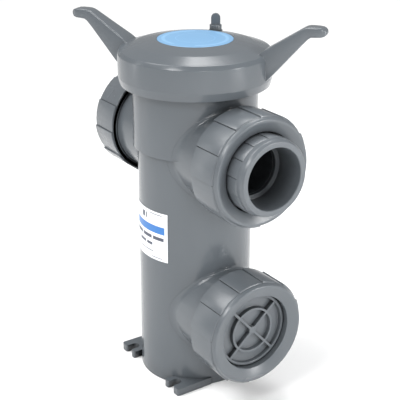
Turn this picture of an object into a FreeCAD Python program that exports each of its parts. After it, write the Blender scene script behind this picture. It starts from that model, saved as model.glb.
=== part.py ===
import FreeCAD, Part
import os
import re
import Sketcher

# Basket strainer with two socket unions in line, a third union port low on the outlet side
# that is closed by a blanking plug, and a screwed cover over a lift-out basket.
# Millimetres. +Z up, +X from the inlet to the outlet, origin at the centre of the underside.

SIZES = {
    # corner ears of the foot, each with a bolt slot open to the side
    "ear_t": 12,
    "ear_x": 85,
    "ear_y": 88,
    "ear_in_x": 47,
    "ear_in_y": 26,
    "slot_x": 64,
    "slot_y": 76,
    "slot_r": 7,
    "prong_round": 3,
    # body outside
    "foot_r": 87,
    "waist_r": 86.05,
    "step_z": 371.6,
    "upper_r": 92.9,
    "neck_z": 466.6,
    "neck_r": 98,
    "neck_top": 503,
    # body inside
    "floor_z": 12,
    "chamber_r": 77,
    "chamber_step": 355,
    "upper_chamber_r": 80,
    "ledge_z": 468,
    "mouth_r": 87,
    "spigot_r": 44,
    # ports, measured out along their own axis from the body axis
    "upper_port_z": 373.3,
    "lower_port_z": 121.5,
    "boss_r": 71,
    "boss_end": 140,
    "passage_r": 38,
    "seal_r": 60,
    "seal_tube": 2,
    "seal_slack": 0.2,
    # rating label wrapped round the body
    "label_span": 57,
    "label_z": 206,
    "label_h": 78,
    "label_t": 0.5,
    "label_gap": 0.1,
    # cover
    "arm_azimuth": 35.5,
    "cover_bottom": 465,
    "cover_taper_z": 477,
    "cover_taper_r": 110,
    "skirt_r": 113,
    "rim_low_z": 510,
    "rim_high_z": 515.2,
    "rim_r": 108.5,
    "crown_r": 57,
    "crown_z": 528.6,
    "cover_bore_r": 98.5,
    "cover_seat_z": 503.4,
    "dome_r": 84,
    "dome_low_z": 508,
    "dome_mid_r": 50,
    "dome_top_z": 518,
    "cover_seal_r": 91,
    "cover_seal_tube": 3,
    "cover_seal_z": 506.4,
    "seal_groove_half": 3.6,
    "seal_groove_z": 509.7,
    # turning arms of the cover
    "arm_half": 17.8,
    "arm_tip_half": 10.5,
    "arm_root_x": 99.9,
    "arm_root_z": 518.3,
    "arm_ramp_x": 164.1,
    "arm_top_z": 559.8,
    "arm_tip_x": 194,
    "arm_pad_z": 546,
    "arm_under_x": 169.9,
    "arm_foot_z": 478.5,
    "arm_tip_round": 6.5,
    # disc set in the crown of the cover
    "disc_r": 55.4,
    "disc_slack": 0.2,
    "disc_z": 526,
    "disc_top": 529.1,
    "disc_edge": 0.6,
    # vent plug in the cover
    "vent_azimuth": 123.2,
    "vent_radius": 78,
    "vent_boss_r": 10.5,
    "vent_boss_z": 525.6,
    "vent_hole_r": 5.2,
    "vent_stem_r": 4.8,
    "vent_stem_z": 508.5,
    "vent_collar_r": 9.25,
    "vent_collar_in": 8.1,
    "vent_collar_z": 525.9,
    "vent_recess_z": 528.5,
    "vent_collar_top": 533.3,
    "vent_tab_half": 7,
    "vent_tab_t": 5,
    "vent_tab_top": 550.4,
    "vent_tab_round": 6.4,
    "vent_seal_r": 6.6,
    "vent_seal_tube": 1.15,
    "vent_seal_z": 527.05,
    # basket
    "basket_r": 70,
    "basket_wall": 2.5,
    "basket_low": 55,
    "basket_floor_t": 3,
    "rim_bottom": 468.3,
    "rim_top": 473,
    "rim_out_r": 86,
    "collar_z": 301,
    "drain_r": 3,
    "mesh_slot_half": 2.4,
    "mesh_slot_h": 25,
    "mesh_pitch_z": 33,
    "mesh_low_z": 80,
    "mesh_rows": 7,
    "mesh_start": 7.5,
    "mesh_columns": 24,
    "window_r": 43,
    "lug_half": 7,
    "lug_in": 65.5,
    "lug_out": 71.5,
    "lug_top": 485,
    "pivot_z": 478,
    "pin_r": 2.5,
    "pin_in": 57,
    # basket bail handle
    "bail_r": 71.4,
    "bail_drop": 35.4,
    "bail_rod_r": 2.5,
    "bail_span": 120,
    "eye_r": 5,
    "eye_in": 57.5,
    "eye_out": 65,
    "eye_bore_r": 2.8,
    # union nuts
    "nut_rear": 110.6,
    "nut_facets_end": 162,
    "nut_front": 168.3,
    "nut_low_r": 80.6,
    "nut_high_r": 82.6,
    "nut_core_r": 79.4,
    "nut_ring_r": 77.8,
    "nut_nose_r": 76,
    "nut_land_r": 73,
    "nut_bore_r": 71.6,
    "nut_shoulder": 150.3,
    "nut_open_r": 58.4,
    "nut_dish": 162.5,
    "nut_notch_r": 76,
    "nut_notch_half": 1.4,
    "nut_notch_deep": 4,
    # end connectors with a pipe socket
    "flange_rear": 140.3,
    "flange_front": 150,
    "flange_r": 68,
    "hub_low_r": 56.3,
    "hub_high_r": 57.1,
    "hub_core_r": 55.6,
    "hub_ribs_start": 152,
    "hub_ribs_end": 183,
    "hub_edge": 191.6,
    "hub_face_r": 53.5,
    "hub_face": 194.8,
    "socket_r": 44.65,
    "socket_deep": 47.6,
    # blanking plug
    "plug_floor": 147,
    "plug_face": 154,
    "plug_out_r": 57,
    "plug_out_in": 53,
    "plug_mid_r": 36,
    "plug_mid_in": 32.5,
    "plug_boss_r": 6,
    "spoke_half": 2,
}

NUT_FACETS = 12
HUB_RIBS = 14

doc = FreeCAD.newDocument("BasketStrainer")
sheet = doc.addObject("Spreadsheet::Sheet", "Sizes")
for row, (size_name, size_value) in enumerate(SIZES.items(), start=1):
    sheet.set(f"A{row}", size_name)
    sheet.set(f"B{row}", str(size_value))
    sheet.setAlias(f"B{row}", size_name)
doc.recompute()

sub_parts = []


def rule(text):
    """A sheet expression from a rule written with plain size names."""
    return re.sub(r"[a-z_]+", lambda m: "Sizes." + m.group() if m.group() in SIZES else m.group(), text)


def bind(thing, prop, text):
    """Tie one property of a feature to a rule on the sizes sheet."""
    thing.setExpression(prop, rule(text))


def new_part(label, x="0", y="0", z="0", turn="0"):
    """An empty PartDesign body, placed at (x, y, z) and turned about +Z by turn degrees."""
    body = doc.addObject("PartDesign::Body", label)
    body.Label = label
    bind(body, "Placement.Base.x", x)
    bind(body, "Placement.Base.y", y)
    bind(body, "Placement.Base.z", z)
    bind(body, "Placement.Rotation.Angle", turn)
    sub_parts.append(body)
    return body


def new_sketch(body, name, plane, offset):
    """A sketch on one of the body's origin planes, shifted along the plane's normal."""
    sketch = body.newObject("Sketcher::SketchObject", f"{body.Label}_{name}")
    support = [item for item in body.Origin.OriginFeatures if item.Role == plane][0]
    sketch.AttachmentSupport = (support, [""])
    sketch.MapMode = "FlatFace"
    bind(sketch, "AttachmentOffset.Base.z", offset)
    return sketch


def fix_point(body, sketch, item, vertex, point):
    """Dimension a sketch point from the sketch origin, both ways."""
    for kind, text in zip(("DistanceX", "DistanceY"), point):
        value = float(body.evalExpression(rule(text)))
        number = sketch.addConstraint(Sketcher.Constraint(kind, -1, 1, item, vertex, value))
        bind(sketch, f"Constraints[{number}]", text)


def add_outline(body, sketch, points):
    """A closed outline of straight lines through points given as pairs of rules."""
    first = sketch.GeometryCount
    count = len(points)
    corners = [
        FreeCAD.Vector(float(body.evalExpression(rule(x))), float(body.evalExpression(rule(y))), 0)
        for x, y in points
    ]
    for number in range(count):
        sketch.addGeometry(Part.LineSegment(corners[number], corners[(number + 1) % count]), False)
    for number in range(count):
        following = first + (number + 1) % count
        sketch.addConstraint(Sketcher.Constraint("Coincident", first + number, 2, following, 1))
    for number, point in enumerate(points):
        fix_point(body, sketch, first + number, 1, point)


def add_circle(body, sketch, centre, radius):
    """A circle at a pair of rules, with its radius from the sheet."""
    size = float(body.evalExpression(rule(radius)))
    circle = Part.Circle(FreeCAD.Vector(0, 0, 0), FreeCAD.Vector(0, 0, 1), size)
    item = sketch.addGeometry(circle, False)
    number = sketch.addConstraint(Sketcher.Constraint("Radius", item, size))
    bind(sketch, f"Constraints[{number}]", radius)
    fix_point(body, sketch, item, 3, centre)


def outline(body, name, plane, *loops, offset="0"):
    """A sketch holding one or more closed outlines."""
    sketch = new_sketch(body, name, plane, offset)
    for points in loops:
        add_outline(body, sketch, points)
    return sketch


def circles(body, name, plane, *rounds, offset="0"):
    """A sketch holding circles, each given as (centre, radius)."""
    sketch = new_sketch(body, name, plane, offset)
    for centre, radius in rounds:
        add_circle(body, sketch, centre, radius)
    return sketch


def turned(body, name, sketch, axis="V_Axis", cut=False, span="360"):
    """Revolve a profile about a sketch axis, adding to the body or cutting a groove."""
    kind = "PartDesign::Groove" if cut else "PartDesign::Revolution"
    feature = body.newObject(kind, f"{body.Label}_{name}")
    feature.Profile = sketch
    feature.ReferenceAxis = (sketch, [axis])
    feature.Midplane = True
    bind(feature, "Angle", span)
    doc.recompute()
    return feature


def raised(body, name, sketch, length, midplane=False, reverse=False):
    """Pad a profile along its normal."""
    feature = body.newObject("PartDesign::Pad", f"{body.Label}_{name}")
    feature.Profile = sketch
    feature.Midplane = midplane
    feature.Reversed = reverse
    bind(feature, "Length", length)
    doc.recompute()
    return feature


def pocketed(body, name, sketch, length, midplane=False, reverse=False):
    """Cut a profile into the body against its normal, and make sure metal was removed."""
    before = body.Shape.Volume
    feature = body.newObject("PartDesign::Pocket", f"{body.Label}_{name}")
    feature.Profile = sketch
    feature.Midplane = midplane
    feature.Reversed = reverse
    bind(feature, "Length", length)
    doc.recompute()
    if body.Shape.Volume >= before:
        raise RuntimeError(f"{feature.Label} removed nothing")
    return feature


def rounded(body, name, radius, wanted):
    """Fillet the edges of the body's tip that the test picks out."""
    tip = body.Tip
    edges = [f"Edge{number}" for number, edge in enumerate(tip.Shape.Edges, start=1) if wanted(edge)]
    feature = body.newObject("PartDesign::Fillet", f"{body.Label}_{name}")
    feature.Base = (tip, edges)
    bind(feature, "Radius", radius)
    doc.recompute()
    return feature


def spun(body, name, feature, sketch, axis, count):
    """Repeat a feature evenly about a sketch axis."""
    pattern = body.newObject("PartDesign::PolarPattern", f"{body.Label}_{name}")
    pattern.Originals = [feature]
    pattern.Axis = (sketch, [axis])
    pattern.Angle = 360
    bind(pattern, "Occurrences", count)
    body.Tip = pattern
    doc.recompute()
    return pattern


def sawtooth(low, high, count, phase):
    """Outline of a ratchet-like grip: each facet climbs from low to high, then drops at a step.

    Angles run from +Z towards -Y, so the sketch is on the YZ plane."""
    points = []
    for number in range(count):
        start = 360 * number / count + phase
        for climb in (0, 0.5, 1):
            radius = f"({low} + ({high} - {low}) * {climb})"
            angle = start + 360 * climb / count
            points.append((f"-{radius} * sin({angle:.3f})", f"{radius} * cos({angle:.3f})"))
    return points


def o_ring(label, ring, tube, x="0", y="0", z="0", flat=True):
    """A rubber ring, lying flat or standing square to the X axis."""
    ring_object = doc.addObject("Part::Torus", label)
    ring_object.Label = label
    bind(ring_object, "Radius1", ring)
    bind(ring_object, "Radius2", tube)
    if not flat:
        ring_object.Placement.Rotation = FreeCAD.Rotation(FreeCAD.Vector(0, 1, 0), 90)
    bind(ring_object, "Placement.Base.x", x)
    bind(ring_object, "Placement.Base.y", y)
    bind(ring_object, "Placement.Base.z", z)
    sub_parts.append(ring_object)


def build_barrel():
    """Body moulding, divided at its steps: sump floor, barrel with three port holes, neck."""
    floor = new_part("body_floor")
    disc = circles(floor, "disc", "XY_Plane", (("0", "0"), "foot_r"))
    raised(floor, "disc_solid", disc, "floor_z")

    barrel = new_part("body")
    wall = outline(barrel, "wall", "XZ_Plane", [
        ("chamber_r", "floor_z"),
        ("foot_r", "floor_z"),
        ("waist_r", "step_z"),
        ("upper_r", "step_z"),
        ("upper_r", "neck_z"),
        ("upper_chamber_r", "neck_z"),
        ("upper_chamber_r", "chamber_step + 3"),
        ("chamber_r", "chamber_step"),
    ])
    turned(barrel, "wall_solid", wall)
    upper = circles(barrel, "upper_passage", "YZ_Plane", (("0", "upper_port_z"), "passage_r"))
    pocketed(barrel, "upper_passage_cut", upper, "2 * boss_end", midplane=True)
    lower = circles(barrel, "lower_passage", "YZ_Plane", (("0", "lower_port_z"), "passage_r"))
    pocketed(barrel, "lower_passage_cut", lower, "boss_end", reverse=True)

    neck = new_part("body_neck")
    collar = outline(neck, "collar", "XZ_Plane", [
        ("upper_chamber_r", "neck_z"),
        ("neck_r", "neck_z"),
        ("neck_r", "neck_top"),
        ("mouth_r", "neck_top"),
        ("mouth_r", "ledge_z"),
        ("upper_chamber_r", "ledge_z"),
    ])
    turned(neck, "collar_solid", collar)


def build_boss(label, port_z, turn):
    """Screwed boss moulded on the barrel, with a passage and a face seal groove round it."""
    boss = new_part(label, turn=turn)
    port = ("0", port_z)
    blank = circles(boss, "blank", "YZ_Plane", (port, "boss_r"))
    raised(boss, "blank_solid", blank, "boss_end")
    saddle = outline(boss, "saddle", "XZ_Plane", [
        ("0", "floor_z"),
        ("foot_r", "floor_z"),
        ("waist_r", "step_z"),
        ("upper_r", "step_z"),
        ("upper_r", "neck_z"),
        ("0", "neck_z"),
    ])
    turned(boss, "saddle_cut", saddle, cut=True)
    passage = circles(boss, "passage", "YZ_Plane", (port, "passage_r"))
    pocketed(boss, "passage_cut", passage, "boss_end", reverse=True)
    seat = circles(boss, "seal_seat", "YZ_Plane", (port, "seal_r + seal_tube + seal_slack"),
                   (port, "seal_r - seal_tube - seal_slack"), offset="boss_end")
    pocketed(boss, "seal_groove", seat, "2 * seal_tube + seal_slack")


def build_spigot():
    """Short spout that carries the inlet stream across the chamber to the basket window."""
    spout = new_part("inlet_spigot", turn="180")
    port = ("0", "upper_port_z")
    blank = circles(spout, "blank", "YZ_Plane", (port, "spigot_r"), (port, "passage_r"))
    raised(spout, "blank_solid", blank, "upper_chamber_r + 3")
    inner = outline(spout, "basket_space", "XZ_Plane", [
        ("0", "upper_port_z - spigot_r - 5"),
        ("basket_r + 1", "upper_port_z - spigot_r - 5"),
        ("basket_r + 1", "upper_port_z + spigot_r + 5"),
        ("0", "upper_port_z + spigot_r + 5"),
    ])
    turned(spout, "basket_space_cut", inner, cut=True)
    outer = outline(spout, "barrel_wall", "XZ_Plane", [
        ("chamber_r", "upper_port_z - spigot_r - 5"),
        ("upper_chamber_r + 20", "upper_port_z - spigot_r - 5"),
        ("upper_chamber_r + 20", "upper_port_z + spigot_r + 5"),
        ("upper_chamber_r", "upper_port_z + spigot_r + 5"),
        ("upper_chamber_r", "chamber_step + 3"),
        ("chamber_r", "chamber_step"),
    ])
    turned(spout, "barrel_wall_cut", outer, cut=True)


def build_ear(label, sx, sy):
    """One corner ear of the foot, hollowed to sit against the barrel."""
    ear = new_part(label)
    blank = outline(ear, "blank", "XY_Plane", [
        (f"{sx}ear_in_x", f"{sy}ear_in_y"),
        (f"{sx}ear_x", f"{sy}ear_in_y"),
        (f"{sx}ear_x", f"{sy}ear_y"),
        (f"{sx}ear_in_x", f"{sy}ear_y"),
    ])
    raised(ear, "blank_solid", blank, "ear_t")
    seat = circles(ear, "seat", "XY_Plane", (("0", "0"), "foot_r"))
    pocketed(ear, "seat_cut", seat, "ear_t", reverse=True)
    slot_end = circles(ear, "slot_end", "XY_Plane", ((f"{sx}slot_x", f"{sy}slot_y"), "slot_r"))
    pocketed(ear, "slot_end_cut", slot_end, "ear_t", reverse=True)
    mouth = outline(ear, "slot_mouth", "XY_Plane", [
        (f"{sx}(slot_x - slot_r)", f"{sy}slot_y"),
        (f"{sx}(slot_x + slot_r)", f"{sy}slot_y"),
        (f"{sx}(slot_x + slot_r)", f"{sy}(ear_y + 2)"),
        (f"{sx}(slot_x - slot_r)", f"{sy}(ear_y + 2)"),
    ])
    pocketed(ear, "slot_mouth_cut", mouth, "ear_t", reverse=True)

    def prong_corner(edge):
        upright = abs(edge.BoundBox.ZLength - SIZES["ear_t"]) < 0.01
        return upright and abs(abs(edge.CenterOfMass.y) - SIZES["ear_y"]) < 0.01

    rounded(ear, "prong_rounds", "prong_round", prong_corner)


def build_label():
    """Thin label wrapped round the -Y side of the barrel."""
    body = new_part("body_label", turn="-90")
    low = "foot_r - (foot_r - waist_r) * label_z / step_z + label_gap"
    high = "foot_r - (foot_r - waist_r) * (label_z + label_h) / step_z + label_gap"
    strip = outline(body, "strip", "XZ_Plane", [
        (low, "label_z"),
        (low + " + label_t", "label_z"),
        (high + " + label_t", "label_z + label_h"),
        (high, "label_z + label_h"),
    ])
    turned(body, "strip_solid", strip, span="label_span")


def build_cover():
    """Screwed cover: two turning arms, conical crown, skirt, seal groove and vent boss."""
    body = new_part("cover", turn="arm_azimuth")
    half_arm = [
        ("arm_root_x", "arm_root_z"),
        ("arm_ramp_x", "arm_top_z"),
        ("arm_tip_x", "arm_top_z"),
        ("arm_tip_x", "arm_pad_z"),
        ("arm_under_x", "arm_pad_z"),
        ("skirt_r", "arm_foot_z"),
        ("skirt_r - 3", "arm_foot_z"),
        ("skirt_r - 3", "dome_top_z - 4"),
    ]
    arms = half_arm + [("-(" + x + ")", z) for x, z in reversed(half_arm)]
    raised(body, "arm_blank", outline(body, "arms", "XZ_Plane", arms), "2 * arm_half", midplane=True)
    sides = [
        [
            (f"{sx}arm_root_x", f"{sy}arm_half"),
            (f"{sx}arm_ramp_x", f"{sy}arm_tip_half"),
            (f"{sx}(arm_tip_x + 5)", f"{sy}arm_tip_half"),
            (f"{sx}(arm_tip_x + 5)", f"{sy}(arm_half + 5)"),
            (f"{sx}arm_root_x", f"{sy}(arm_half + 5)"),
        ]
        for sx in ("", "-") for sy in ("", "-")
    ]
    arm_sides = outline(body, "arm_sides", "XY_Plane", *sides)
    pocketed(body, "arm_taper", arm_sides, "4 * arm_top_z", midplane=True)

    def tip_edge(edge):
        across = abs(edge.BoundBox.YLength - 2 * SIZES["arm_tip_half"]) < 0.01
        return across and abs(abs(edge.CenterOfMass.x) - SIZES["arm_tip_x"]) < 0.01

    rounded(body, "arm_tips", "arm_tip_round", tip_edge)

    crown = outline(body, "crown", "XZ_Plane", [
        ("0", "cover_bottom"),
        ("cover_taper_r", "cover_bottom"),
        ("skirt_r", "cover_taper_z"),
        ("skirt_r", "rim_low_z"),
        ("rim_r", "rim_high_z"),
        ("crown_r", "crown_z"),
        ("0", "crown_z"),
    ])
    turned(body, "crown_solid", crown)

    vent = ("vent_radius * cos(vent_azimuth - arm_azimuth)", "vent_radius * sin(vent_azimuth - arm_azimuth)")
    boss = circles(body, "vent_boss", "XY_Plane", (vent, "vent_boss_r"), offset="dome_top_z")
    raised(body, "vent_boss_solid", boss, "vent_boss_z - dome_top_z")

    inside = outline(body, "inside", "XZ_Plane", [
        ("0", "cover_bottom - 1"),
        ("cover_bore_r", "cover_bottom - 1"),
        ("cover_bore_r", "cover_seat_z"),
        ("cover_seal_r + seal_groove_half", "cover_seat_z"),
        ("cover_seal_r + seal_groove_half", "seal_groove_z"),
        ("cover_seal_r - seal_groove_half", "seal_groove_z"),
        ("cover_seal_r - seal_groove_half", "cover_seat_z"),
        ("dome_r", "cover_seat_z"),
        ("dome_r", "dome_low_z"),
        ("dome_mid_r", "dome_top_z"),
        ("0", "dome_top_z"),
    ])
    turned(body, "inside_cut", inside, cut=True)

    recess = circles(body, "disc_recess", "XY_Plane", (("0", "0"), "disc_r + disc_slack"), offset="crown_z")
    pocketed(body, "disc_recess_cut", recess, "crown_z - disc_z")
    hole = circles(body, "vent_hole", "XY_Plane", (vent, "vent_hole_r"), offset="vent_boss_z")
    pocketed(body, "vent_hole_cut", hole, "vent_boss_z - cover_seat_z")


def build_disc():
    """Coloured disc set into the crown of the cover."""
    body = new_part("cover_badge")
    face = outline(body, "face", "XZ_Plane", [
        ("0", "disc_z"),
        ("disc_r", "disc_z"),
        ("disc_r", "disc_top - disc_edge"),
        ("disc_r - disc_edge", "disc_top"),
        ("0", "disc_top"),
    ])
    turned(body, "face_solid", face)


def build_vent_plug():
    """Threaded vent plug with a shrouded seal and a finger tab."""
    body = new_part("vent_plug", x="vent_radius * cos(vent_azimuth)", y="vent_radius * sin(vent_azimuth)",
                    turn="vent_azimuth - 67")
    stem = outline(body, "stem", "XZ_Plane", [
        ("0", "vent_stem_z"),
        ("vent_stem_r", "vent_stem_z"),
        ("vent_stem_r", "vent_recess_z"),
        ("vent_collar_in", "vent_recess_z"),
        ("vent_collar_in", "vent_collar_z"),
        ("vent_collar_r", "vent_collar_z"),
        ("vent_collar_r", "vent_collar_top - 0.7"),
        ("vent_collar_r - 0.7", "vent_collar_top"),
        ("0", "vent_collar_top"),
    ])
    turned(body, "stem_solid", stem)
    tab = outline(body, "tab", "XZ_Plane", [
        ("-vent_tab_half", "vent_recess_z + 1"),
        ("vent_tab_half", "vent_recess_z + 1"),
        ("vent_tab_half", "vent_tab_top"),
        ("-vent_tab_half", "vent_tab_top"),
    ])
    raised(body, "tab_solid", tab, "vent_tab_t", midplane=True)

    def top_corner(edge):
        across = abs(edge.BoundBox.YLength - SIZES["vent_tab_t"]) < 0.01
        return across and edge.BoundBox.ZMin > SIZES["vent_tab_top"] - 0.01

    rounded(body, "tab_rounds", "vent_tab_round", top_corner)


def perforate(wall):
    """Rows of upright slots all round the basket wall."""
    slot = outline(wall, "slot", "YZ_Plane", [
        ("-mesh_slot_half", "mesh_low_z - mesh_slot_h / 2"),
        ("mesh_slot_half", "mesh_low_z - mesh_slot_h / 2"),
        ("mesh_slot_half", "mesh_low_z + mesh_slot_h / 2"),
        ("-mesh_slot_half", "mesh_low_z + mesh_slot_h / 2"),
    ])
    start = FreeCAD.Rotation(FreeCAD.Vector(0, 1, 0), SIZES["mesh_start"])
    slot.AttachmentOffset = FreeCAD.Placement(FreeCAD.Vector(0, 0, 0), start)
    first = pocketed(wall, "slot_cut", slot, "basket_r + 5", reverse=True)
    pattern = wall.newObject("PartDesign::MultiTransform", f"{wall.Label}_mesh")
    pattern.Originals = [first]
    about = wall.newObject("PartDesign::PolarPattern", f"{wall.Label}_columns")
    about.Axis = (slot, ["V_Axis"])
    about.Angle = 360
    bind(about, "Occurrences", "mesh_columns")
    upward = wall.newObject("PartDesign::LinearPattern", f"{wall.Label}_rows")
    upward.Direction = (slot, ["V_Axis"])
    bind(upward, "Length", "mesh_pitch_z * (mesh_rows - 1)")
    bind(upward, "Occurrences", "mesh_rows")
    pattern.Transformations = [about, upward]
    wall.Tip = pattern
    doc.recompute()


def build_basket():
    """Lift-out basket: rim with lugs, plain collar with the inlet window, slotted wall, floor."""
    rim = new_part("basket_rim")
    ring = outline(rim, "ring", "XZ_Plane", [
        ("basket_r - basket_wall", "rim_bottom"),
        ("rim_out_r", "rim_bottom"),
        ("rim_out_r", "rim_top"),
        ("basket_r - basket_wall", "rim_top"),
    ])
    turned(rim, "ring_solid", ring)
    lugs = [
        [
            ("-lug_half", f"{side}lug_in"),
            ("lug_half", f"{side}lug_in"),
            ("lug_half", f"{side}lug_out"),
            ("-lug_half", f"{side}lug_out"),
        ]
        for side in ("", "-")
    ]
    lug_sketch = outline(rim, "lugs", "XY_Plane", *lugs, offset="rim_bottom")
    raised(rim, "lug_solids", lug_sketch, "lug_top - rim_bottom")

    def lug_shoulder(edge):
        across = abs(edge.BoundBox.YLength - (SIZES["lug_out"] - SIZES["lug_in"])) < 0.01
        return across and edge.BoundBox.ZMin > SIZES["lug_top"] - 0.01

    rounded(rim, "lug_rounds", "lug_half - 1", lug_shoulder)
    pin_hole = circles(rim, "pin_hole", "XZ_Plane", (("0", "pivot_z"), "pin_r"))
    pocketed(rim, "pin_hole_cut", pin_hole, "3 * lug_out", midplane=True)

    for label, low, high in (
        ("basket_collar", "collar_z", "rim_bottom"),
        ("basket_screen", "basket_low + basket_floor_t", "collar_z"),
    ):
        wall = new_part(label)
        section = outline(wall, "section", "XZ_Plane", [
            ("basket_r - basket_wall", low),
            ("basket_r", low),
            ("basket_r", high),
            ("basket_r - basket_wall", high),
        ])
        turned(wall, "section_solid", section)
        if label == "basket_screen":
            perforate(wall)
        else:
            window = circles(wall, "window", "YZ_Plane", (("0", "upper_port_z"), "window_r"))
            pocketed(wall, "window_cut", window, "basket_r + 5")

    floor = new_part("basket_floor")
    disc = circles(floor, "disc", "XY_Plane", (("0", "0"), "basket_r"), offset="basket_low")
    raised(floor, "disc_solid", disc, "basket_floor_t")
    for number, (radius, count) in enumerate((("14", "8"), ("28", "16"), ("42", "24"), ("56", "32"))):
        drain = circles(floor, f"drain_{number}", "XY_Plane", ((radius, "0"), "drain_r"), offset="basket_low")
        cut = pocketed(floor, f"drain_{number}_cut", drain, "basket_floor_t", reverse=True)
        spun(floor, f"drain_{number}_ring", cut, drain, "N_Axis", count)


def build_handle():
    """Bail handle folded flat towards +X, and the two pins it swings on."""
    for label, side in (("basket_pin_left", ""), ("basket_pin_right", "-")):
        pin = new_part(label)
        rod = circles(pin, "rod", "XZ_Plane", (("0", "pivot_z"), "pin_r"), offset=f"{side}pin_in")
        raised(pin, "rod_solid", rod, "lug_out - pin_in", reverse=side == "-")

    bail = new_part("basket_handle", x="-bail_drop", z="pivot_z")
    bow = circles(bail, "bow", "XZ_Plane", (("bail_r", "0"), "bail_rod_r"))
    turned(bail, "bow_solid", bow, span="bail_span")
    for name, side in (("left", ""), ("right", "-")):
        eye = circles(bail, f"eye_{name}", "XZ_Plane", (("bail_drop", "0"), "eye_r"), offset=f"{side}eye_in")
        raised(bail, f"eye_{name}_solid", eye, "eye_out - eye_in", reverse=side == "-")
    bore = circles(bail, "bore", "XZ_Plane", (("bail_drop", "0"), "eye_bore_r"))
    pocketed(bail, "bore_cut", bore, "3 * eye_out", midplane=True)


def build_union_nut(label, height, turn, phase):
    """Union nut: plain core and dished front, ratchet-like grip, sockets in the rear face."""
    nut = new_part(label, z=height, turn=turn)
    core = outline(nut, "core", "XZ_Plane", [
        ("nut_rear", "nut_bore_r"),
        ("nut_rear", "nut_core_r"),
        ("nut_facets_end + 1", "nut_core_r"),
        ("nut_front - 1.6", "nut_ring_r"),
        ("nut_front", "nut_nose_r"),
        ("nut_front", "nut_land_r"),
        ("nut_dish", "nut_open_r"),
        ("nut_shoulder", "nut_open_r"),
        ("nut_shoulder", "nut_bore_r"),
    ])
    turned(nut, "core_solid", core, axis="H_Axis")
    grip = outline(nut, "grip", "YZ_Plane", sawtooth("nut_low_r", "nut_high_r", NUT_FACETS, phase),
                   offset="nut_rear")
    add_circle(nut, grip, ("0", "0"), "(nut_bore_r + nut_core_r) / 2")
    raised(nut, "grip_solid", grip, "nut_facets_end - nut_rear")
    notch = outline(nut, "notch", "YZ_Plane", [
        ("-nut_notch_half", "nut_notch_r - nut_notch_half"),
        ("nut_notch_half", "nut_notch_r - nut_notch_half"),
        ("nut_notch_half", "nut_notch_r + nut_notch_half"),
        ("-nut_notch_half", "nut_notch_r + nut_notch_half"),
    ], offset="nut_rear")
    cut = pocketed(nut, "notch_cut", notch, "nut_notch_deep", reverse=True)
    spun(nut, "notch_ring", cut, notch, "N_Axis", "8")


def build_connector(label, turn, phase):
    """End connector held by a union nut: flange, ribbed hub, socket for the pipe."""
    tail = new_part(label, z="upper_port_z", turn=turn)
    half = outline(tail, "half", "XZ_Plane", [
        ("flange_rear", "passage_r"),
        ("flange_rear", "flange_r"),
        ("flange_front", "flange_r"),
        ("flange_front", "hub_core_r"),
        ("hub_ribs_end", "hub_core_r"),
        ("hub_edge", "hub_core_r"),
        ("hub_face", "hub_face_r"),
        ("hub_face", "socket_r"),
        ("hub_face - socket_deep", "socket_r"),
        ("hub_face - socket_deep", "passage_r"),
    ])
    turned(tail, "half_solid", half, axis="H_Axis")
    ribs = outline(tail, "ribs", "YZ_Plane", sawtooth("hub_low_r", "hub_high_r", HUB_RIBS, phase),
                   offset="hub_ribs_start")
    add_circle(tail, ribs, ("0", "0"), "(hub_core_r + socket_r) / 2")
    raised(tail, "rib_solid", ribs, "hub_ribs_end - hub_ribs_start")


def build_blanking_plug():
    """Plug closing the low port: flange, two rims and two crossed bars on the outside face."""
    plug = new_part("lower_blanking_plug", z="lower_port_z")
    half = outline(plug, "half", "XZ_Plane", [
        ("flange_rear", "0"),
        ("flange_rear", "flange_r"),
        ("flange_front", "flange_r"),
        ("flange_front", "plug_out_r"),
        ("plug_face", "plug_out_r"),
        ("plug_face", "plug_out_in"),
        ("plug_floor", "plug_out_in"),
        ("plug_floor", "plug_mid_r"),
        ("plug_face", "plug_mid_r"),
        ("plug_face", "plug_mid_in"),
        ("plug_floor", "plug_mid_in"),
        ("plug_floor", "plug_boss_r"),
        ("plug_face", "plug_boss_r"),
        ("plug_face", "0"),
    ])
    turned(plug, "half_solid", half, axis="H_Axis")
    for angle in (42, 132):
        bar = [
            (f"-({reach}) * sin({angle}) + {side}spoke_half * cos({angle})",
             f"({reach}) * cos({angle}) + {side}spoke_half * sin({angle})")
            for reach, side in (
                ("-(plug_out_in + 1)", "-"),
                ("-(plug_out_in + 1)", ""),
                ("plug_out_in + 1", ""),
                ("plug_out_in + 1", "-"),
            )
        ]
        bar_sketch = outline(plug, f"bar_{angle}", "YZ_Plane", bar, offset="plug_floor - 1")
        raised(plug, f"bar_{angle}_solid", bar_sketch, "plug_face - plug_floor + 1")


build_barrel()
build_boss("inlet_boss", "upper_port_z", "180")
build_boss("outlet_boss", "upper_port_z", "0")
build_boss("lower_boss", "lower_port_z", "0")
build_spigot()
for ear_label, ear_x_sign, ear_y_sign in (
    ("foot_ear_front_left", "", "-"),
    ("foot_ear_front_right", "", ""),
    ("foot_ear_rear_left", "-", "-"),
    ("foot_ear_rear_right", "-", ""),
):
    build_ear(ear_label, ear_x_sign, ear_y_sign)
build_label()
build_cover()
build_disc()
build_vent_plug()
build_basket()
build_handle()
o_ring("cover_o_ring", "cover_seal_r", "cover_seal_tube", z="cover_seal_z")
o_ring("vent_plug_o_ring", "vent_seal_r", "vent_seal_tube", x="vent_radius * cos(vent_azimuth)",
       y="vent_radius * sin(vent_azimuth)", z="vent_seal_z")
for ring_label, ring_x, ring_z in (
    ("inlet_face_o_ring", "-(boss_end - seal_tube)", "upper_port_z"),
    ("outlet_face_o_ring", "boss_end - seal_tube", "upper_port_z"),
    ("lower_face_o_ring", "boss_end - seal_tube", "lower_port_z"),
):
    o_ring(ring_label, "seal_r", "seal_tube", x=ring_x, z=ring_z, flat=False)
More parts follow.
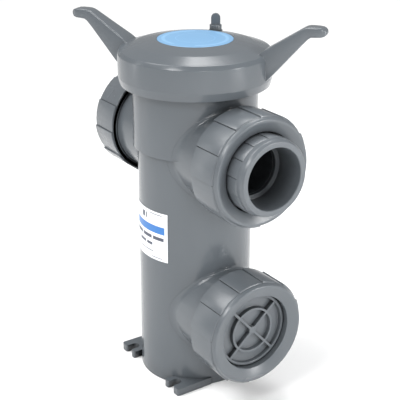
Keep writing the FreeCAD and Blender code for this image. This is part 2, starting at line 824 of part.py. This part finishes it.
for nut_label, nut_z, nut_turn, nut_phase in (
    ("inlet_union_nut", "upper_port_z", "180", -3),
    ("outlet_union_nut", "upper_port_z", "0", 2),
    ("lower_union_nut", "lower_port_z", "0", 23),
):
    build_union_nut(nut_label, nut_z, nut_turn, nut_phase)
build_connector("inlet_connector", "180", 0)
build_connector("outlet_connector", "0", 4)
build_blanking_plug()
doc.recompute()

for item in doc.Objects:
    if "Invalid" in item.State or "Error" in item.State:
        raise RuntimeError(f"{item.Label}: {item.State}")
os.makedirs("parts", exist_ok=True)
for part in sub_parts:
    if part.Shape.isNull() or not part.Shape.isValid():
        raise RuntimeError(f"{part.Label} has no valid shape")
    part.Shape.exportStep(f"parts/{part.Label}.step")
    box = part.Shape.BoundBox
    print(f"{part.Label}: {len(part.Shape.Solids)} solid(s), x {box.XMin:.1f}..{box.XMax:.1f}, "
          f"y {box.YMin:.1f}..{box.YMax:.1f}, z {box.ZMin:.1f}..{box.ZMax:.1f}")
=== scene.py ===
import math

import bmesh
import bpy
from mathutils import Matrix, Vector


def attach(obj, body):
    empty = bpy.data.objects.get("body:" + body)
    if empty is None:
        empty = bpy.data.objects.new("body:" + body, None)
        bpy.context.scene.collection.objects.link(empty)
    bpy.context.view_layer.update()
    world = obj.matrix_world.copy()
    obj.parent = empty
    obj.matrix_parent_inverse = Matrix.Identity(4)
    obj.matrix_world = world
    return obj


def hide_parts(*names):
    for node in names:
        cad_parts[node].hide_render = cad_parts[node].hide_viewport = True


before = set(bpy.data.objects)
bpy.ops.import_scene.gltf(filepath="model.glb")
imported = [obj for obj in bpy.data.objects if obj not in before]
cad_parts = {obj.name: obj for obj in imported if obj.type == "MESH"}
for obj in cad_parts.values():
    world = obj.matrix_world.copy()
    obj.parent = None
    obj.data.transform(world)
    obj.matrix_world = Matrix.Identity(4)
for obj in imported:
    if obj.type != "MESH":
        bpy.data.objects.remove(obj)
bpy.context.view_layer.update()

# Lengths below are in millimetres and angles in degrees, unless a comment says otherwise.
MM = 0.001
CORNER_STEPS = 4
SHARP_ANGLE = 40
UPPER_Z = 373.3
LOWER_Z = 121.5
ARM_AZIMUTH = 35.5
VENT_AZIMUTH = 123.2
VENT_RADIUS = 78
VENT_AT = (
    VENT_RADIUS * math.cos(math.radians(VENT_AZIMUTH)),
    VENT_RADIUS * math.sin(math.radians(VENT_AZIMUTH)),
)

BARREL_FOOT_R = 87
BARREL_TAPER = 0.95
BARREL_STEP_Z = 371.6
UPPER_BARREL_R = 92.9
BOSS_R = 71

NUT_FACETS = 12
NUT_LOW_R = 80.6
NUT_HIGH_R = 82.6
NUT_GROOVE = 0.9
HUB_RIBS = 14
HUB_LOW_R = 56.3
HUB_HIGH_R = 57.1
HUB_GROOVE = 0.7
GROOVE_DEPTH = 0.9

SPOKE_ANGLES = (42, 132, 222, 312)
VENT_TAB_TURN = -67
VENT_TAB_HALF = 7
VENT_TAB_ARC_Z = 543.4
PRINT_LIFT = 0.64
ARCS_Z = 529.06
ARCS_TURN = -54

# Camera: position in metres, direction of view, roll in degrees, lens and sensor in millimetres.
CAMERA_AT = (1.1500, -0.7641, 0.8472)
CAMERA_LOOK = (-0.76699, 0.51565, -0.38186)
CAMERA_ROLL = -0.16
CAMERA_LENS = 87.39
CAMERA_SENSOR = 36


# ---------------------------------------------------------------- materials

def new_material(name, colour, roughness, specular=0.5):
    """A Principled material with plain numbers set on its sockets."""
    material = bpy.data.materials.new(name)
    material.use_nodes = True
    shader = material.node_tree.nodes["Principled BSDF"]
    shader.inputs["Base Color"].default_value = (*colour, 1)
    shader.inputs["Roughness"].default_value = roughness
    shader.inputs["Specular IOR Level"].default_value = specular
    return material, shader


def moulded(name, colour, roughness, mottle=0.03, edge=0.0008):
    """Moulded plastic: faint mottling, painted shade in hollows (ambient occlusion darkens the colour), fine
    grain, edges softened over a radius in metres.
    """
    material, shader = new_material(name, colour, roughness)
    nodes = material.node_tree.nodes
    links = material.node_tree.links
    place = nodes.new("ShaderNodeTexCoord")

    cloud = nodes.new("ShaderNodeTexNoise")
    cloud.inputs["Scale"].default_value = 9
    cloud.inputs["Detail"].default_value = 3
    links.new(place.outputs["Object"], cloud.inputs["Vector"])
    tint = nodes.new("ShaderNodeMapRange")
    tint.inputs["To Min"].default_value = 1 - mottle
    tint.inputs["To Max"].default_value = 1 + mottle
    links.new(cloud.outputs["Fac"], tint.inputs["Value"])
    shade = nodes.new("ShaderNodeVectorMath")
    shade.operation = "SCALE"
    shade.inputs[0].default_value = colour
    # Painted shade: ambient occlusion darkens the colour in hollows, crevices and gaps between parts, down to
    # near black in deep passages.
    depth = nodes.new("ShaderNodeAmbientOcclusion")
    depth.samples = 6
    depth.inputs["Distance"].default_value = 0.09
    painted_shade_amount = nodes.new("ShaderNodeMapRange")
    painted_shade_amount.inputs["From Min"].default_value = 0.2
    painted_shade_amount.inputs["From Max"].default_value = 0.48
    painted_shade_amount.inputs["To Min"].default_value = 0.03
    painted_shade_amount.inputs["To Max"].default_value = 1
    links.new(depth.outputs["AO"], painted_shade_amount.inputs["Value"])
    product = nodes.new("ShaderNodeMath")
    product.operation = "MULTIPLY"
    links.new(tint.outputs["Result"], product.inputs[0])
    links.new(painted_shade_amount.outputs["Result"], product.inputs[1])
    links.new(product.outputs["Value"], shade.inputs["Scale"])
    links.new(shade.outputs["Vector"], shader.inputs["Base Color"])

    gloss = nodes.new("ShaderNodeMapRange")
    gloss.inputs["To Min"].default_value = roughness * 0.95
    gloss.inputs["To Max"].default_value = roughness * 1.05
    links.new(cloud.outputs["Fac"], gloss.inputs["Value"])
    links.new(gloss.outputs["Result"], shader.inputs["Roughness"])

    fine = nodes.new("ShaderNodeTexNoise")
    fine.inputs["Scale"].default_value = 900
    links.new(place.outputs["Object"], fine.inputs["Vector"])
    rounding = nodes.new("ShaderNodeBevel")
    rounding.samples = 4
    rounding.inputs["Radius"].default_value = edge
    bump = nodes.new("ShaderNodeBump")
    bump.inputs["Strength"].default_value = 0.02
    bump.inputs["Distance"].default_value = 0.0004
    links.new(fine.outputs["Fac"], bump.inputs["Height"])
    links.new(rounding.outputs["Normal"], bump.inputs["Normal"])
    links.new(bump.outputs["Normal"], shader.inputs["Normal"])
    return material


GREY = moulded("grey_pvc", (0.094, 0.106, 0.118), 0.21)
NUT_GREY = moulded("nut_grey_pvc", (0.1, 0.112, 0.124), 0.27, edge=0.0004)
HUB_GREY = moulded("hub_grey_pvc", (0.1, 0.112, 0.124), 0.3, edge=0.0004)
BASKET = moulded("basket_plastic", (0.03, 0.032, 0.034), 0.45)
PIN = moulded("pin_plastic", (0.03, 0.03, 0.033), 0.4)
RUBBER = moulded("seal_rubber", (0.012, 0.012, 0.013), 0.6, edge=0.0002)
FILM = moulded("label_film", (0.82, 0.84, 0.87), 0.32, mottle=0.015, edge=0.0001)
INK_BLUE = moulded("label_ink_blue", (0.03, 0.17, 0.48), 0.35, edge=0.0001)
INK_DARK = moulded("label_ink_dark", (0.06, 0.07, 0.1), 0.4, edge=0.0001)
DISC_BLUE = moulded("disc_blue", (0.15, 0.31, 0.5), 0.38, mottle=0.03, edge=0.0003)
DISC_PALE = moulded("disc_pale", (0.2, 0.38, 0.58), 0.38, mottle=0.02, edge=0.0001)


# ---------------------------------------------------------------- mesh tools

def soften(corners):
    """Round the corners of a closed profile. Each corner is (along, radius) or (along, radius, rounding)."""
    result = []
    count = len(corners)
    for number, corner in enumerate(corners):
        here = Vector(corner[:2])
        rounding = corner[2] if len(corner) > 2 else 0
        back = Vector(corners[number - 1][:2]) - here
        ahead = Vector(corners[(number + 1) % count][:2]) - here
        if not rounding or back.length < 1e-6 or ahead.length < 1e-6:
            result.append(tuple(here))
            continue
        turn = back.angle(ahead)
        reach = min(rounding / math.tan(turn / 2), back.length * 0.48, ahead.length * 0.48)
        first = here + back.normalized() * reach
        last = here + ahead.normalized() * reach
        for step in range(CORNER_STEPS + 1):
            part = step / CORNER_STEPS
            point = first * (1 - part) ** 2 + here * 2 * part * (1 - part) + last * part ** 2
            result.append(tuple(point))
    return result


def new_object(name, mesh, material, body, node=None):
    """Put a finished mesh into the scene, on its body, in place of its CAD node."""
    piece = bpy.data.objects.new(name, mesh)
    bpy.context.scene.collection.objects.link(piece)
    mesh.materials.append(material)
    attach(piece, body)
    if node:
        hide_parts(node)


def finish_mesh(name, vertices, faces):
    """A mesh in metres from millimetre vertices, smooth but for its sharp edges."""
    bm = bmesh.new()
    points = [bm.verts.new(Vector(vertex) * MM) for vertex in vertices]
    for face in faces:
        bm.faces.new([points[number] for number in face])
    bmesh.ops.remove_doubles(bm, verts=bm.verts, dist=1e-7)
    bmesh.ops.dissolve_degenerate(bm, edges=bm.edges, dist=1e-7)
    bmesh.ops.recalc_face_normals(bm, faces=bm.faces)
    for face in bm.faces:
        face.smooth = True
    for edge in bm.edges:
        edge.smooth = len(edge.link_faces) == 2 and edge.calc_face_angle(0) < math.radians(SHARP_ANGLE)
    mesh = bpy.data.meshes.new(name)
    bm.to_mesh(mesh)
    bm.free()
    return mesh


def ring_grid(rings, closed_round=True):
    """Faces joining closed rings of equal length, and the last ring to the first if closed_round."""
    faces = []
    count = len(rings[0])
    total = len(rings)
    for number in range(total if closed_round else total - 1):
        following = (number + 1) % total
        for item in range(count):
            after = (item + 1) % count
            faces.append((
                number * count + item,
                number * count + after,
                following * count + after,
                following * count + item,
            ))
    return faces


def lathe(profile, angles, wave=None):
    """Sweep a closed profile of (along, radius) or (along, radius, wave weight) round the axis.

    Returns vertices as (along, angle, radius) and faces. The wave gives a radius to add at an angle.
    """
    rings = []
    for angle in angles:
        ring = []
        for point in profile:
            lift = point[2] * wave(angle) if len(point) > 2 else 0
            ring.append((point[0], angle, point[1] + lift))
        rings.append(ring)
    vertices = [vertex for ring in rings for vertex in ring]
    return vertices, ring_grid(rings)


def even(count):
    """Angles of a number of equal steps round a full turn."""
    return [360 * number / count for number in range(count)]


def about_z(shape, x=0, y=0):
    """A lathed shape, its vertices turned from (along, angle, radius) to x, y, z about an upright axis."""
    vertices = []
    for along, angle, radius in shape[0]:
        turn = math.radians(angle)
        vertices.append((x + radius * math.cos(turn), y + radius * math.sin(turn), along))
    return vertices, shape[1]


def about_x(shape, side, height):
    """A lathed shape turned to a port's axis. Angles run from +Z towards -Y at the +X side."""
    vertices = []
    for along, angle, radius in shape[0]:
        turn = math.radians(angle)
        vertices.append((side * along, -side * radius * math.sin(turn), height + radius * math.cos(turn)))
    return vertices, shape[1]


def ratchet(low, high, count, phase, groove):
    """The angles of a ratchet-like grip, and the radius above low at each of them.

    Each facet climbs evenly from low to high and drops at a step, into a fine groove of the given width.
    """
    span = 360 / count
    width = math.degrees(groove / low) / span
    climb = high - low
    # (share of the facet's angle, share of the climb)
    stations = (
        (0.0, -GROOVE_DEPTH / climb),
        (0.6 * width, -GROOVE_DEPTH / climb),
        (width, 0.0),
        (0.25, 0.25),
        (0.5, 0.5),
        (0.75, 0.75),
        (1 - 1.2 * width, 0.97),
        (1 - 0.4 * width, 0.9),
        (1 - 0.15 * width, 0.7),
    )
    lifts = {}
    for number in range(count):
        for part, share in stations:
            lifts[phase + span * (number + part)] = share * climb
    return sorted(lifts), lifts.get


def block(centre, sizes, turn, rounding):
    """Vertices and faces of a turned box with rounded edges."""
    bm = bmesh.new()
    bmesh.ops.create_cube(bm, size=1)
    bmesh.ops.scale(bm, vec=Vector(sizes), verts=bm.verts)
    bmesh.ops.bevel(bm, geom=list(bm.edges), offset=rounding, segments=2, profile=0.5, affect="EDGES")
    bmesh.ops.transform(bm, matrix=turn, verts=bm.verts)
    bmesh.ops.translate(bm, vec=Vector(centre), verts=bm.verts)
    bm.verts.index_update()
    vertices = [tuple(vertex.co) for vertex in bm.verts]
    faces = [tuple(vertex.index for vertex in face.verts) for face in bm.faces]
    bm.free()
    return vertices, faces


def joined(*shapes):
    """Several (vertices, faces) shapes as one."""
    vertices = []
    faces = []
    for shape_vertices, shape_faces in shapes:
        first = len(vertices)
        vertices.extend(shape_vertices)
        faces.extend(tuple(first + number for number in face) for face in shape_faces)
    return vertices, faces


def lofted(rings):
    """Closed rings of equal length joined in order, with flat ends."""
    vertices = [vertex for ring in rings for vertex in ring]
    faces = ring_grid(rings, closed_round=False)
    count = len(rings[0])
    faces.append(tuple(range(count)))
    faces.append(tuple(range(len(vertices) - count, len(vertices))))
    return vertices, faces


# ---------------------------------------------------------------- unions

def union_nut(name, side, height, phase):
    """Union nut with a ratchet-like grip, a rounded front ring and a dished face."""
    angles, lift = ratchet(NUT_LOW_R, NUT_HIGH_R, NUT_FACETS, phase, NUT_GROOVE)
    grip = lathe([
        (110.6, 74, 0),
        (110.6, 79.9, 0.9),
        (111.4, NUT_LOW_R, 1),
        (160.9, NUT_LOW_R, 1),
        (161.7, 80.4, 0.9),
        (162.3, 79.8, 0.5),
        (162.5, 79.0, 0),
        (162.5, 74, 0),
    ], angles, lift)
    core = lathe(soften([
        (110.6, 71.6, 0.3),
        (110.6, 79.0, 0.6),
        (163.6, 79.3, 1.2),
        (168.3, 76.9, 2.2),
        (167.9, 73.2, 1.6),
        (162.5, 58.4, 0.8),
        (150.3, 58.4, 0.3),
        (150.3, 71.6, 0.3),
    ]), even(144))
    vertices, faces = about_x(joined(grip, core), side, height)
    new_object(name, finish_mesh(name, vertices, faces), NUT_GREY, name, name)


def connector(name, side, phase):
    """Socket connector: flange, hub with shallow one-way ribs, rounded mouth."""
    angles, lift = ratchet(HUB_LOW_R, HUB_HIGH_R, HUB_RIBS, phase, HUB_GROOVE)
    ribs = lathe([
        (152, 50, 0),
        (152, HUB_LOW_R, 1),
        (181.6, HUB_LOW_R, 1),
        (183, 56.0, 0.4),
        (183.4, 55.2, 0),
        (183.4, 50, 0),
    ], angles, lift)
    hub = lathe(soften([
        (140.3, 38, 0.4),
        (140.3, 68, 0.6),
        (150, 68, 0.6),
        (150, 55.6, 0.5),
        (183.5, 55.8, 1.5),
        (190.5, 55.5, 3.0),
        (194.8, 52.9, 1.4),
        (194.8, 45.6, 0.8),
        (193.6, 44.65, 0.6),
        (147.2, 44.45, 0.4),
        (147.2, 38, 0.5),
    ]), even(144))
    vertices, faces = about_x(joined(ribs, hub), side, UPPER_Z)
    new_object(name, finish_mesh(name, vertices, faces), HUB_GREY, name, name)


def blanking_plug():
    """Blanking plug: floor, outer rim, inner ring, centre boss and four spokes."""
    floor = lathe(soften([
        (140.3, 0),
        (140.3, 68, 0.6),
        (150, 68, 0.6),
        (150, 57, 0.4),
        (154, 57, 0.9),
        (154, 53, 0.9),
        (147, 52.6, 1.2),
        (147, 36.4, 1.2),
        (154, 36, 0.8),
        (154, 32.5, 0.8),
        (147, 32.1, 1.2),
        (147, 6.3, 1.0),
        (154, 6.0, 0.8),
        (154, 0),
    ]), even(96))
    spokes = []
    for angle in SPOKE_ANGLES:
        turn = Matrix.Rotation(math.radians(angle), 4, "X")
        for near, far in ((4, 34), (34, 55)):
            middle = turn @ Vector((150.2, 0, (near + far) / 2)) + Vector((0, 0, LOWER_Z))
            spokes.append(block(middle, (7.5, 4, far - near), turn, 0.7))
    vertices, faces = joined(about_x(floor, 1, LOWER_Z), *spokes)
    mesh = finish_mesh("lower_blanking_plug", vertices, faces)
    new_object("lower_blanking_plug", mesh, HUB_GREY, "lower_blanking_plug", "lower_blanking_plug")


# ---------------------------------------------------------------- body

def barrel_radius(height):
    """Outside radius of the barrel at a height: a slight taper, then the wider upper barrel."""
    if height > BARREL_STEP_Z:
        return UPPER_BARREL_R
    return BARREL_FOOT_R - BARREL_TAPER * height / BARREL_STEP_Z


def boss_fillet(name, side, height):
    """Fillet where a boss meets the barrel, as a closed strip sunk slightly into both."""
    # (distance out of the barrel, distance off the boss) round the section of the strip
    section = ((5, 0), (2.3, 0.5), (1.1, 1.1), (0.5, 2.3), (0, 5), (-1, 4), (-1.5, -1.5), (4, -1))
    rings = []
    for angle in even(180):
        across = math.sin(math.radians(angle))
        up = math.cos(math.radians(angle))
        ring = []
        for out, off in section:
            radius = BOSS_R + off
            wall = barrel_radius(height + radius * up)
            along = math.sqrt(wall ** 2 - (radius * across) ** 2)
            ring.append((side * (along + out), -side * radius * across, height + radius * up))
        rings.append(ring)
    vertices = [vertex for ring in rings for vertex in ring]
    new_object(name, finish_mesh(name, vertices, ring_grid(rings)), GREY, "housing")


# ---------------------------------------------------------------- cover

ARM_STATIONS = [
    # along, half width, underside, top
    (96, 19.0, 470.0, 514.0),
    (108, 17.2, 474.5, 523.4),
    (113.5, 16.4, 480.5, 526.9),
    (122, 15.3, 489.9, 532.3),
    (140, 13.2, 510.6, 543.8),
    (155, 11.5, 527.9, 553.4),
    (160.5, 10.9, 534.2, 556.9),
    (164.5, 10.5, 538.4, 558.8),
    (168.5, 10.5, 542.8, 559.6),
    (172.5, 10.5, 545.3, 559.8),
    (181, 10.5, 546.0, 559.8),
    (186.5, 10.0, 546.4, 559.4),
    (190.5, 8.6, 547.6, 558.2),
    (193.0, 6.2, 549.6, 556.2),
    (194.0, 3.4, 551.6, 554.2),
]


def arm(side):
    """One turning arm, lofted through rounded sections."""
    rings = []
    for along, half, low, high in ARM_STATIONS:
        rounding = min(2.2, half * 0.6, (high - low) * 0.45)
        corners = (
            (half - rounding, high - rounding, 0),
            (rounding - half, high - rounding, 90),
            (rounding - half, low + rounding, 180),
            (half - rounding, low + rounding, 270),
        )
        ring = []
        for across, up, start in corners:
            for step in range(4):
                angle = math.radians(start + 30 * step)
                ring.append((
                    side * along,
                    side * (across + rounding * math.cos(angle)),
                    up + rounding * math.sin(angle),
                ))
        rings.append(ring)
    return lofted(rings)


def cover():
    """Cover shell with its two arms and the vent boss."""
    shell = lathe(soften([
        (465.0, 98.5, 0.5),
        (465.0, 110.0, 1.0),
        (477.0, 113.0, 1.5),
        (509.6, 113.0, 1.2),
        (515.4, 109.3, 1.6),
        (516.4, 105.8, 2.5),
        (523.0, 86.0, 20.0),
        (528.6, 57.0, 0.8),
        (528.6, 55.6, 0.3),
        (526.0, 55.6, 0.3),
        (526.0, 0.0),
        (518.0, 0.0),
        (518.0, 50.0, 4.0),
        (508.0, 84.0, 2.0),
        (503.4, 84.0, 0.4),
        (503.4, 87.4, 0.4),
        (509.7, 87.4, 0.4),
        (509.7, 94.6, 0.4),
        (503.4, 94.6, 0.4),
        (503.4, 98.5, 0.4),
    ]), even(180))
    boss = lathe(soften([
        (514.0, 5.2),
        (514.0, 10.5),
        (525.6, 10.5, 0.7),
        (525.6, 5.2, 0.4),
    ]), even(48))
    turn = Matrix.Rotation(math.radians(ARM_AZIMUTH), 4, "Z")
    arms = []
    for side in (1, -1):
        vertices, faces = arm(side)
        arms.append(([tuple(turn @ Vector(vertex)) for vertex in vertices], faces))
    vertices, faces = joined(about_z(shell), about_z(boss, *VENT_AT), *arms)
    new_object("cover", finish_mesh("cover", vertices, faces), GREY, "cover", "cover")


def crown_disc():
    """Blue disc in the crown with two plain pale arcs and a centre ring."""
    vertices, faces = about_z(lathe(soften([
        (526.0, 0.0),
        (526.0, 55.4, 0.2),
        (528.5, 55.4, 0.5),
        (529.05, 54.6, 0.3),
        (529.05, 0.0),
    ]), even(128)))
    mesh = finish_mesh("cover_badge", vertices, faces)
    new_object("cover_badge", mesh, DISC_BLUE, "cover", "cover_badge")
    vertices, faces = joined(
        flat_arc(44, 49, 20, 160),
        flat_arc(44, 49, 200, 340),
        flat_arc(28, 29.2, 0, 360),
    )
    new_object("disc_arcs", finish_mesh("disc_arcs", vertices, faces), DISC_PALE, "cover")


def flat_arc(inner, outer, start, end):
    """A flat arc lying on the disc."""
    steps = 48
    vertices = []
    for step in range(steps + 1):
        angle = math.radians(ARCS_TURN + start + (end - start) * step / steps)
        for radius in (inner, outer):
            vertices.append((radius * math.cos(angle), radius * math.sin(angle), ARCS_Z))
    faces = [(2 * step, 2 * step + 1, 2 * step + 3, 2 * step + 2) for step in range(steps)]
    return vertices, faces


def vent_plug():
    """Vent plug: plain stem and collar, threads and flutes not modelled, finger tab with a rounded top."""
    stem = lathe(soften([
        (508.5, 0.0),
        (508.5, 4.8, 0.6),
        (528.5, 4.8),
        (528.5, 8.1, 0.3),
        (525.9, 8.1, 0.2),
        (525.9, 9.25, 0.2),
        (533.3, 9.25, 1.0),
        (533.3, 0.0),
    ]), even(48))
    outline = [(-VENT_TAB_HALF, 530), (VENT_TAB_HALF, 530)]
    for angle in range(0, 181, 15):
        rise = math.radians(angle)
        outline.append((VENT_TAB_HALF * math.cos(rise), VENT_TAB_ARC_Z + VENT_TAB_HALF * math.sin(rise)))
    turn = Matrix.Rotation(math.radians(VENT_AZIMUTH + VENT_TAB_TURN), 4, "Z")
    place = Matrix.Translation((*VENT_AT, 0)) @ turn
    rings = []
    for depth, inset in ((-2.5, 0.6), (-1.9, 0.0), (1.9, 0.0), (2.5, 0.6)):
        shrink = 1 - inset / VENT_TAB_HALF
        ring = [Vector((x * shrink, depth, z - inset * (z - 530) / 20)) for x, z in outline]
        rings.append([tuple(place @ point) for point in ring])
    vertices, faces = joined(about_z(stem, *VENT_AT), lofted(rings))
    new_object("vent_plug", finish_mesh("vent_plug", vertices, faces), GREY, "vent_plug", "vent_plug")


# ---------------------------------------------------------------- label

def label_patch(name, material, azimuths, heights):
    """A patch printed on the label: azimuths from the label's middle, and heights."""
    steps = max(4, int((azimuths[1] - azimuths[0]) * 1.2))
    vertices = []
    for step in range(steps + 1):
        angle = math.radians(-90 + azimuths[0] + (azimuths[1] - azimuths[0]) * step / steps)
        for height in heights:
            radius = barrel_radius(height) + PRINT_LIFT
            vertices.append((radius * math.cos(angle), radius * math.sin(angle), height))
    faces = [(2 * step, 2 * step + 2, 2 * step + 3, 2 * step + 1) for step in range(steps)]
    new_object(name, finish_mesh(name, vertices, faces), material, "housing")


def label_print():
    """Generic print on the label: a headline band and rows of thin bars, no lettering."""
    label_patch("label_band", INK_BLUE, (-24, 25), (250, 262))
    # (height of the row, height of its bars, azimuths of each bar)
    rows = (
        (279.5, 1.2, ((6, 22),)),
        (269, 9, ((-8, -3), (-1, 1))),
        (239, 5.5, ((-24, -9), (-7, 8), (10, 24))),
        (228, 4.5, ((-14, -2), (0, 9))),
        (218, 1.4, ((-12, 10),)),
        (209.5, 1.2, ((-24, -14), (8, 22))),
    )
    for row, (height, tall, spans) in enumerate(rows):
        for item, span in enumerate(spans):
            label_patch(f"label_bar_{row}_{item}", INK_DARK, span, (height, height + tall))


# ---------------------------------------------------------------- build

# Materials of the CAD nodes. The seals are rubber and the others grey.
NODE_MATERIALS = {
    "body_label": FILM,
    "basket_rim": BASKET,
    "basket_collar": BASKET,
    "basket_screen": BASKET,
    "basket_floor": BASKET,
    "basket_handle": BASKET,
    "basket_pin_left": PIN,
    "basket_pin_right": PIN,
}

for node_name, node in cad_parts.items():
    finish = NODE_MATERIALS.get(node_name, RUBBER if "o_ring" in node_name else GREY)
    if not node.material_slots:
        node.data.materials.append(finish)
    for material_slot in node.material_slots:
        material_slot.material = finish

union_nut("inlet_union_nut", -1, UPPER_Z, -3)
union_nut("outlet_union_nut", 1, UPPER_Z, 2)
union_nut("lower_union_nut", 1, LOWER_Z, 23)
connector("inlet_connector", -1, 0)
connector("outlet_connector", 1, 4)
blanking_plug()
boss_fillet("inlet_boss_fillet", -1, UPPER_Z)
boss_fillet("outlet_boss_fillet", 1, UPPER_Z)
boss_fillet("lower_boss_fillet", 1, LOWER_Z)
cover()
crown_disc()
vent_plug()
label_print()


# ---------------------------------------------------------------- stage

def stage():
    """Plain pale floor."""
    bm = bmesh.new()
    for x in (-30, 30):
        for y in (-30, 30):
            bm.verts.new((x, y, -0.0002))
    bm.verts.ensure_lookup_table()
    bm.faces.new([bm.verts[number] for number in (0, 2, 3, 1)])
    mesh = bpy.data.meshes.new("floor")
    bm.to_mesh(mesh)
    bm.free()
    floor = bpy.data.objects.new("floor", mesh)
    bpy.context.scene.collection.objects.link(floor)
    material, _ = new_material("floor_paper", (0.93, 0.93, 0.93), 0.9, 0.1)
    mesh.materials.append(material)


def area_light(name, at, target, size, power):
    """A rectangular soft light aimed at a point. Lengths are in metres."""
    data = bpy.data.lights.new(name, "AREA")
    data.shape = "RECTANGLE"
    data.size, data.size_y = size
    data.energy = power
    light = bpy.data.objects.new(name, data)
    bpy.context.scene.collection.objects.link(light)
    light.location = at
    light.rotation_euler = (Vector(target) - Vector(at)).to_track_quat("-Z", "Y").to_euler()


def camera():
    """Camera at the height and angle of a product shot from the front right."""
    camera_data = bpy.data.cameras.new("camera")
    camera_data.lens = CAMERA_LENS
    camera_data.sensor_width = CAMERA_SENSOR
    view = bpy.data.objects.new("camera", camera_data)
    bpy.context.scene.collection.objects.link(view)
    look = Vector(CAMERA_LOOK)
    roll = Matrix.Rotation(math.radians(CAMERA_ROLL), 3, look)
    aim = roll @ look.to_track_quat("-Z", "Y").to_matrix()
    view.matrix_world = Matrix.Translation(CAMERA_AT) @ aim.to_4x4()
    bpy.context.scene.camera = view


def lights():
    """Soft lights round the part, and a wide sun."""
    middle = (0, 0, 0.3)
    area_light("left_strip", (-1.3, -1.6, 0.8), middle, (0.25, 1.6), 4)
    area_light("key", (0.7, -1.8, 1.9), middle, (0.7, 0.7), 22)
    area_light("front", (2.3, -0.7, 1.1), middle, (0.5, 1.2), 20)
    area_light("right_strip", (1.9, 1.1, 0.9), middle, (0.25, 1.5), 30)
    area_light("top", (-0.5, 0.6, 2.2), middle, (0.9, 0.9), 20)
    sun_data = bpy.data.lights.new("sun", "SUN")
    sun_data.energy = 2.3
    sun_data.angle = math.radians(35)
    sun = bpy.data.objects.new("sun", sun_data)
    bpy.context.scene.collection.objects.link(sun)
    sun.rotation_euler = Vector((0.5, 0.7, -1.5)).to_track_quat("-Z", "Y").to_euler()


def pale_world():
    """White world to the camera, dimmer as a light."""
    world = bpy.data.worlds.new("world")
    bpy.context.scene.world = world
    world.use_nodes = True
    nodes = world.node_tree.nodes
    links = world.node_tree.links
    dim = nodes["Background"]
    dim.inputs["Color"].default_value = (1, 1, 1, 1)
    dim.inputs["Strength"].default_value = 0.36
    bright = nodes.new("ShaderNodeBackground")
    bright.inputs["Color"].default_value = (1, 1, 1, 1)
    bright.inputs["Strength"].default_value = 1.0
    seen = nodes.new("ShaderNodeLightPath")
    mix = nodes.new("ShaderNodeMixShader")
    links.new(seen.outputs["Is Camera Ray"], mix.inputs["Fac"])
    links.new(dim.outputs["Background"], mix.inputs[1])
    links.new(bright.outputs["Background"], mix.inputs[2])
    links.new(mix.outputs["Shader"], nodes["World Output"].inputs["Surface"])
    bpy.context.scene.view_settings.view_transform = "Standard"


stage()
camera()
lights()
pale_world()
